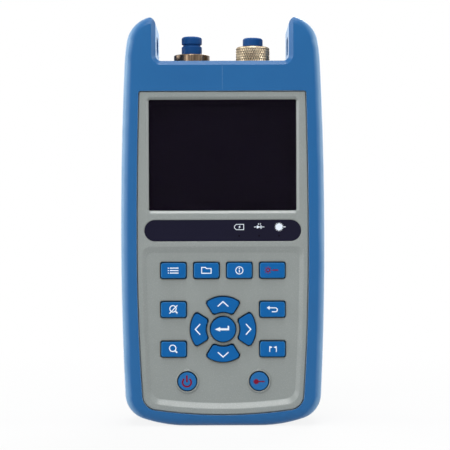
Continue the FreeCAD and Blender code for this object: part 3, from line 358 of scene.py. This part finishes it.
# ---------------------------------------------------------------- meshes
def smoothing(limit):
    """Node group that smooths across all but the edges that are sharper than the limit, in degrees."""
    tree = bpy.data.node_groups.new("smooth_by_angle", "GeometryNodeTree")
    tree.interface.new_socket("Geometry", in_out="INPUT", socket_type="NodeSocketGeometry")
    tree.interface.new_socket("Geometry", in_out="OUTPUT", socket_type="NodeSocketGeometry")
    start, end = tree.nodes.new("NodeGroupInput"), tree.nodes.new("NodeGroupOutput")
    faces = tree.nodes.new("GeometryNodeSetShadeSmooth")
    edges = tree.nodes.new("GeometryNodeSetShadeSmooth")
    edges.domain = "EDGE"
    edges.inputs["Shade Smooth"].default_value = False
    angle = tree.nodes.new("GeometryNodeInputMeshEdgeAngle")
    sharp = tree.nodes.new("FunctionNodeCompare")
    sharp.inputs[1].default_value = math.radians(limit)
    tree.links.new(start.outputs[0], faces.inputs["Geometry"])
    tree.links.new(faces.outputs[0], edges.inputs["Geometry"])
    tree.links.new(angle.outputs["Unsigned Angle"], sharp.inputs[0])
    tree.links.new(sharp.outputs[0], edges.inputs["Selection"])
    tree.links.new(edges.outputs[0], end.inputs[0])
    return tree


SMOOTH, SMOOTH_BUT_SLOPES = smoothing(SHARP_ANGLE), smoothing(SLOPE_ANGLE)


def shade(obj, edge=0.0, limit=EDGE_ANGLE, smooth=SMOOTH):
    """Soft shading with crisp edges, and real rounding where an edge is given."""
    obj.modifiers.new("weld", "WELD").merge_threshold = WELD
    if edge:
        bevel = obj.modifiers.new("edge", "BEVEL")
        bevel.width, bevel.segments, bevel.angle_limit = edge, EDGE_SEGMENTS, math.radians(limit)
        bevel.limit_method = "ANGLE"
    obj.modifiers.new("smooth", "NODES").node_group = smooth
    obj.modifiers.new("normals", "WEIGHTED_NORMAL").keep_sharp = True


def add(name, verts, faces, body, look):
    """New piece from points and faces, riding on a body."""
    mesh = bpy.data.meshes.new(name)
    mesh.from_pydata([tuple(v) for v in verts], [], faces)
    mesh.validate()
    mesh.materials.append(LOOKS[look].material)
    obj = bpy.data.objects.new(name, mesh)
    bpy.context.scene.collection.objects.link(obj)
    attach(obj, body)
    return obj


def lathe(centre, profile, segments, closed=False):
    """Points and faces of a shape turned about an upright axis; the profile lists radius and height."""
    verts, faces = [], []
    count = len(profile)
    for i in range(segments):
        a = 2 * math.pi * i / segments
        verts += [Vector((centre.x + r * math.cos(a), centre.y + r * math.sin(a), z)) for r, z in profile]
    for i in range(segments):
        j = (i + 1) % segments
        for k in range(count if closed else count - 1):
            m = (k + 1) % count
            faces.append((i * count + k, j * count + k, j * count + m, i * count + m))
    return verts, faces


def rounded(corners, steps=6):
    """Points of an outline whose corners are rounded; each corner is two coordinates and a radius."""
    points = []
    for i, (x, y, radius) in enumerate(corners):
        corner = Vector((x, y))
        if not radius:
            points.append(tuple(corner))
            continue
        before = (Vector(corners[i - 1][:2]) - corner).normalized()
        after = (Vector(corners[(i + 1) % len(corners)][:2]) - corner).normalized()
        half = before.angle(after) / 2
        centre = corner + (before + after).normalized() * radius / math.sin(half)
        ends = [corner + way * radius / math.tan(half) for way in (before, after)]
        start, end = [(point - centre).normalized() for point in ends]
        points += [tuple(centre + start.slerp(end, k / steps) * radius) for k in range(steps + 1)]
    return points


# ---------------------------------------------------------------- printed marks, as lists of flat shapes
def ribbon(points, width, closed=False):
    """Line of a given width with mitred corners, as quads."""
    n = len(points)
    left, right = [], []
    for i, p in enumerate(points):
        before = points[i - 1] if (closed or i > 0) else None
        after = points[(i + 1) % n] if (closed or i < n - 1) else None
        pairs = [pair for pair in ((before, p), (p, after)) if None not in pair]
        ways = [(Vector(b) - Vector(a)).normalized() for a, b in pairs]
        along = sum(ways, Vector((0, 0))).normalized()
        across = Vector((-along.y, along.x))
        reach = width / 2 / max(MITRE_LIMIT, across.dot(Vector((-ways[0].y, ways[0].x))))
        left.append(Vector(p) + across * reach)
        right.append(Vector(p) - across * reach)
    last = n if closed else n - 1
    return [[left[i], left[(i + 1) % n], right[(i + 1) % n], right[i]] for i in range(last)]


def bars(ends, width):
    """Separate straight strokes, each from one end to the other."""
    return [quad for pair in ends for quad in ribbon(pair, width)]


def arc(x, z, r, start, end, steps=28):
    """Points along an arc between two headings in degrees."""
    turns = [math.radians(start + (end - start) * i / steps) for i in range(steps + 1)]
    return [(x + r * math.cos(a), z + r * math.sin(a)) for a in turns]


def ring(x, z, r, width):
    return ribbon(arc(x, z, r, 0, 360)[:-1], width, True)


def disc(x, z, r, steps=24):
    rim = arc(x, z, r, 0, 360, steps)
    return [[(x, z), rim[i], rim[i + 1]] for i in range(steps)]


def star(x, z, inner, outer, count):
    """Filled star with as many points as the count says."""
    rim = [(x + r * math.cos(math.pi * i / count), z + r * math.sin(math.pi * i / count))
           for i, r in enumerate((outer, inner) * count)]
    return [[(x, z), rim[i - 1], rim[i]] for i in range(2 * count)]


def rays(x, z, inner, outer, count, width):
    """Short strokes that point away from a middle."""
    ways = [(math.cos(a), math.sin(a)) for a in (2 * math.pi * i / count for i in range(count))]
    return bars([[(x + r * c, z + r * s) for r in (inner, outer)] for c, s in ways], width)


def turned(shapes, degrees):
    a = math.radians(degrees)
    c, s = math.cos(a), math.sin(a)
    return [[(p[0] * c - p[1] * s, p[0] * s + p[1] * c) for p in shape] for shape in shapes]


def printed(name, shapes, centre, y, body, look):
    """Mark printed on a surface that faces the front."""
    verts, faces = [], []
    for i, shape in enumerate(shapes):
        base = len(verts)
        verts += [(centre.x + p[0] * MM, y - INK - i * INK_STEP, centre.z + p[1] * MM) for p in shape]
        faces.append(tuple(range(base, base + len(shape))))
    obj = add(name, verts, faces, body, look)
    mesh = bmesh.new()
    mesh.from_mesh(obj.data)
    for face in mesh.faces:
        face.normal_update()
        if face.normal.y > 0:
            face.normal_flip()
    mesh.to_mesh(obj.data)
    mesh.free()


LINE_LEVELS = (-1.2, 0.0, 1.2)
CHEVRON = ribbon([(-2.6, -1.2), (0.0, 1.15), (2.6, -1.2)], 0.56)
ENTER = ([[(-3.5, 0.0), (-0.9, 1.1), (-0.9, -1.1)]] + ribbon([(-1.2, 0.0), (2.95, 0.0)], 1.0)
         + ribbon([(3.1, -0.5), (3.1, 1.7)], 0.75))
MAGNIFIER = ring(-0.45, 0.4, 1.55, 0.5) + ribbon([(0.6, -0.65), (1.7, -1.75)], 0.75)
STRUCK_MAGNIFIER = MAGNIFIER + ribbon([(-2.2, -1.9), (1.7, 2.1)], 0.5)
LIST = (bars([[(-1.7, z), (2.5, z)] for z in LINE_LEVELS], 0.5)
        + bars([[(-2.7, z), (-2.2, z)] for z in LINE_LEVELS], 0.5))
FOLDER = ribbon([(-2.3, -1.35), (2.3, -1.35), (2.3, 0.95), (0.1, 0.95), (-0.5, 1.5), (-2.3, 1.5)], 0.45, True)
INFORMATION = ring(0, 0, 1.75, 0.42) + ribbon([(0, -1.0), (0, 0.3)], 0.5) + disc(0, 0.9, 0.32)
LIGHT_BEAM = (ring(-1.9, 0, 0.75, 0.5) + rays(-1.9, 0, 1.2, 1.8, 8, 0.42)
              + ribbon([(0.3, 0), (3.0, 0)], 0.65))
STEP_BACK = (ribbon([(-1.9, 0.75), (1.1, 0.75)] + arc(1.1, -0.2, 0.95, 80, -80, 10) + [(-0.6, -1.15)], 0.5)
             + [[(-3.1, 0.75), (-1.7, 1.75), (-1.7, -0.25)]])
MARKERS = (ribbon([(-1.6, -1.4), (-1.6, 1.4)], 0.45) + ribbon([(1.6, -1.4), (1.6, 1.4)], 0.45)
           + [[(-1.4, 1.4), (-0.2, 0.85), (-1.4, 0.3)], [(1.4, 1.4), (0.2, 0.85), (1.4, 0.3)]])
POWER = ribbon(arc(0, -0.4, 2.1, 126, 414), 0.85) + ribbon([(0, -0.4), (0, 3.0)], 0.85)
LASER = star(-1.45, 0, 1.0, 1.65, 12) + ribbon([(-0.4, 0), (2.65, 0)], 0.55)
# sign of each key, and how far it stands from the middle of the key, to the right and up
MARKS = {
    "key_up": (CHEVRON, 0.0, 0.2),
    "key_left": (turned(CHEVRON, 90), -0.2, 0.0),
    "key_down": (turned(CHEVRON, 180), 0.0, -0.2),
    "key_right": (turned(CHEVRON, 270), 0.2, 0.0),
    "key_enter": (ENTER, -0.5, 0.0),
    "key_zoom_in": (MAGNIFIER, 0.0, 0.1),
    "key_zoom_out": (STRUCK_MAGNIFIER, 0.2, 0.0),
    "key_menu": (LIST, 0.0, 0.0),
    "key_file": (FOLDER, 0.0, 0.0),
    "key_info": (INFORMATION, 0.0, 0.0),
    "key_light": (LIGHT_BEAM, -0.2, 0.1),
    "key_escape": (STEP_BACK, 0.3, 0.0),
    "key_marker": (MARKERS, 0.2, 0.0),
    "key_power": (POWER, -0.2, -0.1),
    "key_laser": (LASER, 0.0, -0.2),
}
RED_KEYS = ("key_light", "key_power", "key_laser")

BATTERY_CASE = [(-2.3, 0.45), (-1.4, 1.3), (2.2, 1.3), (2.2, -1.3), (-1.4, -1.3), (-2.3, -0.45)]
BATTERY = (ribbon(BATTERY_CASE, 0.3, True)
           + [[(0.6, 0.95), (-0.45, -0.12), (0.2, -0.12)], [(-0.25, -0.95), (0.8, 0.12), (0.15, 0.12)]])
DIODE = (ribbon([(-2.5, 0), (2.5, 0)], 0.34) + [[(-1.1, 0.85), (-1.1, -0.85), (0.75, 0.0)]]
         + ribbon([(0.9, -0.95), (0.9, 0.95)], 0.36)
         + bars([[(-0.5, 1.1), (-0.1, 1.8)], [(0.4, 1.1), (0.8, 1.8)]], 0.3))
BURST = star(0, 0, 1.45, 2.3, 14) + ribbon([(1.4, 0), (3.2, 0)], 0.34)


def legends():
    """The sign of each key, which goes down with it."""
    for node, (shapes, right, up) in MARKS.items():
        centre = middle(node) + Vector((right * MM, 0, up * MM))
        look = "legend_red" if node in RED_KEYS else "legend_white"
        printed(node.replace("key", "mark"), shapes, centre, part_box(node)[0].y, node, look)


def strip_marks():
    """Three signs on the dark strip, each over the window of its lamp."""
    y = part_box("indicator_strip")[0].y
    lo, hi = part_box("light_pipes")
    lamp = middle("light_pipes")
    half = (hi.z - lo.z) / 2        # the pipes are as wide as they are high
    xs = (lo.x + half, lamp.x, hi.x - half)
    sign_z = middle("indicator_strip").z + SIGN_RISE * MM
    for name, shapes, x in zip(("battery", "diode", "burst"), (BATTERY, DIODE, BURST), xs):
        printed("strip_" + name, shapes, Vector((x, y, sign_z)), y, "instrument", "legend_white")
    for i, x in enumerate(xs):
        window = disc(0, 0, LAMP_WINDOW_R)
        printed(f"lamp_window_{i + 1}", window, Vector((x, y, lamp.z)), y, "instrument", "display_module")


def lens_border():
    """Dark print round the back of the display lens, which hides the seat behind it."""
    lo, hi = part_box("display_lens")
    y, w = hi.y - INK, LENS_BORDER
    outer = [(lo.x, lo.z), (hi.x, lo.z), (hi.x, hi.z), (lo.x, hi.z)]
    inner = [(lo.x + w, lo.z + w), (hi.x - w, lo.z + w), (hi.x - w, hi.z - w), (lo.x + w, hi.z - w)]
    verts = [Vector((x, y, z)) for x, z in outer + inner]
    faces = [(i, (i + 1) % 4, 4 + (i + 1) % 4, 4 + i) for i in range(4)]
    add("lens_border", verts, faces, "instrument", "display_module")


# ---------------------------------------------------------------- knurled nut and soft caps
def triangle_wave(t):
    return 1 - abs(2 * (t % 1.0) - 1)


def knurled_nut():
    """Ring with diamond knurling between two bevelled edges."""
    lo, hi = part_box("laser_nut")
    centre, r = (lo + hi) / 2, (hi.x - lo.x) / 2
    segments = KNURL_AROUND * KNURL_STEPS
    z0, z1 = lo.z + NUT_BEVEL / 2, hi.z - NUT_BEVEL
    profile = [(NUT_BORE_R, lo.z), (r - NUT_BEVEL, lo.z)]
    first = len(profile)
    profile += [(r, z0 + (z1 - z0) * k / KNURL_ROWS) for k in range(KNURL_ROWS + 1)]
    profile += [(r - NUT_BEVEL, hi.z), (NUT_LIP_R, hi.z)]
    profile += [(NUT_LIP_R, hi.z - NUT_LIP_H), (NUT_BORE_R, hi.z - NUT_LIP_H)]
    verts, faces = lathe(centre, profile, segments, True)
    for i, v in enumerate(verts):
        row = i % len(profile) - first
        if 0 <= row <= KNURL_ROWS:
            around, up = KNURL_AROUND * (i // len(profile)) / segments, (v.z - z0) / KNURL_PITCH
            ridge = min(triangle_wave(around + up / 2), triangle_wave(around - up / 2))
            out = Vector((v.x - centre.x, v.y - centre.y, 0)).normalized()
            verts[i] = v - out * KNURL_DEPTH * (1 - ridge)
    nut = add("knurled_nut", verts, faces, "laser_nut", "nut_metal")
    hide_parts("laser_nut")


def turned_cap(node, wall, roof):
    """Cap with a bore below its roof; the wall lists radius, height and rounding from the foot up."""
    lo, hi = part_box(node)
    corners = wall + [((hi.x - lo.x) / 2, hi.z, CAP_CROWN_EDGE)]
    corners = [(CAP_BORE_R, lo.z, 0)] + corners + [(0, hi.z, 0), (0, roof, 0), (CAP_BORE_R, roof, 0)]
    verts, faces = lathe((lo + hi) / 2, rounded(corners), CAP_SEGMENTS, True)
    cap = add("soft_" + node, verts, faces, node, "cap_rubber")
    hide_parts(node)
    shade(cap)


def soft_caps():
    """Both caps with the rounded crown and the waist of a soft moulding, hollow below."""
    lo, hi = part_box("otdr_cap")
    r, waist, crown = (hi.x - lo.x) / 2, lo.z + CAP_SKIRT_H, lo.z + CAP_SKIRT_H + CAP_NECK_H
    wall = [(r, lo.z, CAP_SOFT_EDGE / 2), (r, waist, CAP_SOFT_EDGE), (CAP_NECK_R, waist, CAP_SOFT_EDGE / 2),
            (CAP_NECK_R, crown, CAP_SOFT_EDGE / 2), (r, crown, CAP_SOFT_EDGE)]
    turned_cap("otdr_cap", wall, hi.z - CAP_ROOF)
    lo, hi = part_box("laser_cap")
    r, crown = (hi.x - lo.x) / 2, hi.z - LASER_CAP_CROWN_H
    wall = [(LASER_CAP_SKIRT_R, lo.z, 0), (LASER_CAP_SKIRT_R, crown, 0), (r, crown, CAP_SOFT_EDGE)]
    turned_cap("laser_cap", wall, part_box("laser_adaptor")[1].z + CAP_GAP)


# ---------------------------------------------------------------- boot and battery door
def parting_line():
    """Thin seam of the moulding down the middle of the boot's face, from the notch to the grey panel."""
    y = LOW.y
    top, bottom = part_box("port_panel")[1].z - SEAM_BELOW_DECK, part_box("display_lens")[1].z + SEAM_OVER_LENS
    verts, faces = [], []
    for k in range(SEAM_ROWS + 1):
        z = bottom + (top - bottom) * k / SEAM_ROWS
        sway = SEAM_SWAY * math.sin(k * SEAM_TURN)
        verts += [(sway - SEAM_HALF_WIDTH, y + SEAM_SUNK, z), (sway, y - SEAM_H, z),
                  (sway + SEAM_HALF_WIDTH, y + SEAM_SUNK, z)]
    for k in range(SEAM_ROWS):
        a = 3 * k
        faces += [(a, a + 1, a + 4, a + 3), (a + 1, a + 2, a + 5, a + 4)]
    add("parting_line", verts, faces, "instrument", "boot_rubber")


def door_screws():
    """Countersunk screws at the lower corners of the battery door, each with its crossed slot as a flat dark
    cross of painted shade.
    """
    lo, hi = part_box("battery_door")
    arm, half = SLOT_ARM, SLOT_HALF_WIDTH
    cross = [(-arm, -half), (-half, -half), (-half, -arm), (half, -arm), (half, -half), (arm, -half),
             (arm, half), (half, half), (half, arm), (-half, arm), (-half, half), (-arm, half)]
    for side, x in (("left", lo.x + SCREW_MARGIN_X), ("right", hi.x - SCREW_MARGIN_X)):
        centre = Vector((x, hi.y, lo.z + SCREW_RISE))
        verts, faces = lathe(Vector((0, 0, 0)), [(r * MM, h * MM) for r, h in SCREW_HEAD], SCREW_SEGMENTS)
        verts = [Vector((centre.x + v.x, centre.y + v.z, centre.z + v.y)) for v in verts]
        faces = [tuple(reversed(f)) for f in faces]
        shade(add("door_screw_" + side, verts, faces, "instrument", "screw_steel"))
        # painted shade: a flat dark cross where the slot's recess would lie in shade
        points = [Vector((centre.x + a, centre.y + SLOT_OVER_DOOR, centre.z + b)) for a, b in cross]
        face = tuple(reversed(range(len(cross))))
        add("door_screw_slot_shade_" + side, points, [face], "instrument", "slot_painted_shade")


# ---------------------------------------------------------------- dressing the frame's own solids
def dress():
    """Each solid's look is that of its material slot; the front moulding has one of its own."""
    slots = {part["node"]: part["material_slot"] for part in frame["record"]["subparts"]}
    slots["front_shell"] = "front_plastic"
    for node, obj in frame["nodes"].items():
        obj.data.materials.clear()
        obj.data.materials.append(LOOKS[slots[node]].material)
        if node.startswith("key_") and node != "key_switches":
            shade(obj, KEY_EDGE, KEY_EDGE_ANGLE)
        elif node == "otdr_port_body":
            shade(obj, FLANGE_EDGE)
        elif node == "protective_boot":
            shade(obj, RUBBER_EDGE, SHARP_ANGLE)
        elif node == "front_shell":
            shade(obj, PANEL_EDGE, KEY_EDGE_ANGLE, SMOOTH_BUT_SLOPES)
        else:
            shade(obj)


# ---------------------------------------------------------------- stage, light and camera
FLOOR_COLOUR, FLOOR_REACH = (0.62, 0.62, 0.62, 1), 40       # the reach in heights of the object
FLOOR_SHADOW = 0.12                                         # share of the lit floor that shows
SHADOW_NEAR, SHADOW_FAR = 0.15, 0.45                        # distances in metres over which that share fades
AMBIENT_COLOUR, AMBIENT = (0.95, 0.98, 1.0, 1), 0.12
# name, place, side in metres, power in watts
LAMPS = (("key", (-0.25, -2.1, 2.1), 1.2, 33.0), ("fill", (-1.6, -1.7, 0.15), 1.4, 15.0),
         ("top", (0.0, -0.45, 2.4), 1.2, 34.0), ("back", (0.6, 2.4, 1.8), 1.4, 50.0),
         ("left", (-2.2, 0.0, 0.6), 1.8, 34.0), ("right", (2.2, 0.0, 0.6), 1.8, 26.0))
CAMERA_DISTANCE, CAMERA_X, CAMERA_Z, CAMERA_ROLL = 0.8, 0.0011, 0.0979, 0.18
CAMERA_LENS, CAMERA_SENSOR = 131.6, 36.0                    # in millimetres


def white_where_seen(tree, lit, white, share=0.0):
    """Shader that is white to the camera, to metal and to glass, with 'share' of the lit surface left in."""
    path = tree.nodes.new("ShaderNodeLightPath").outputs
    seen = maths(tree, "MAXIMUM", path["Is Camera Ray"], path["Is Glossy Ray"])
    seen = maths(tree, "MAXIMUM", seen, path["Is Transmission Ray"])
    strength = near_object(tree, share) if share else 1.0
    mix = tree.nodes.new("ShaderNodeMixShader")
    tree.links.new(maths(tree, "MULTIPLY", seen, strength), mix.inputs[0])
    tree.links.new(lit.outputs[0], mix.inputs[1])
    tree.links.new(white.outputs[0], mix.inputs[2])
    return mix.outputs[0]


def near_object(tree, share):
    """One far from the object, and less by 'share' close to it, so that only its shadow shows."""
    place = tree.nodes.new("ShaderNodeTexCoord")
    reach = tree.nodes.new("ShaderNodeVectorMath")
    reach.operation = "LENGTH"
    tree.links.new(place.outputs["Object"], reach.inputs[0])
    far = reach.outputs["Value"]
    return map_range(tree, far, from_min=SHADOW_NEAR, from_max=SHADOW_FAR, to_min=1 - share)


def floor():
    material = bpy.data.materials.new("floor_white")
    material.use_nodes = True
    tree = material.node_tree
    tree.nodes.remove(tree.nodes["Principled BSDF"])
    lit = tree.nodes.new("ShaderNodeBsdfDiffuse")
    lit.inputs["Color"].default_value = FLOOR_COLOUR
    seen = white_where_seen(tree, lit, tree.nodes.new("ShaderNodeEmission"), FLOOR_SHADOW)
    tree.links.new(seen, tree.nodes["Material Output"].inputs["Surface"])
    mesh = bpy.data.meshes.new("floor")
    reach = FLOOR_REACH * (HIGH.z - LOW.z)
    corners = [(x * reach, y * reach, LOW.z) for x, y in ((-1, -1), (1, -1), (1, 1), (-1, 1))]
    mesh.from_pydata(corners, [], [(0, 1, 2, 3)])
    mesh.materials.append(material)
    plane = bpy.data.objects.new("floor", mesh)
    bpy.context.scene.collection.objects.link(plane)


def world():
    studio = bpy.data.worlds.new("studio")
    studio.use_nodes = True
    tree = studio.node_tree
    ambient = tree.nodes["Background"]
    ambient.inputs["Color"].default_value = AMBIENT_COLOUR
    ambient.inputs["Strength"].default_value = AMBIENT
    white = tree.nodes.new("ShaderNodeBackground")
    white.inputs["Color"].default_value = (1, 1, 1, 1)
    tree.links.new(white_where_seen(tree, ambient, white), tree.nodes["World Output"].inputs["Surface"])
    bpy.context.scene.world = studio


def lamps():
    """Square lamps that all face the middle of the object."""
    target = (LOW + HIGH) / 2
    for name, place, size, power in LAMPS:
        data = bpy.data.lights.new(name, "AREA")
        data.size, data.energy = size, power
        lamp = bpy.data.objects.new(name, data)
        lamp.location = place
        lamp.rotation_mode = "QUATERNION"
        lamp.rotation_quaternion = (target - Vector(place)).to_track_quat("-Z", "Y")
        bpy.context.scene.collection.objects.link(lamp)


def camera():
    """Square on to the front, as in the photograph, with its slight roll in degrees."""
    data = bpy.data.cameras.new("camera")
    data.lens, data.sensor_width = CAMERA_LENS, CAMERA_SENSOR
    cam = bpy.data.objects.new("camera", data)
    cam.location = (CAMERA_X, LOW.y - CAMERA_DISTANCE, CAMERA_Z)
    cam.rotation_euler = (math.pi / 2, math.radians(CAMERA_ROLL), 0)
    bpy.context.scene.collection.objects.link(cam)
    bpy.context.scene.camera = cam


dress()
legends()
strip_marks()
lens_border()
soft_caps()
knurled_nut()
parting_line()
door_screws()
floor()
world()
lamps()
camera()
bpy.context.scene.view_settings.view_transform = "Standard"

bpy.context.view_layer.update()
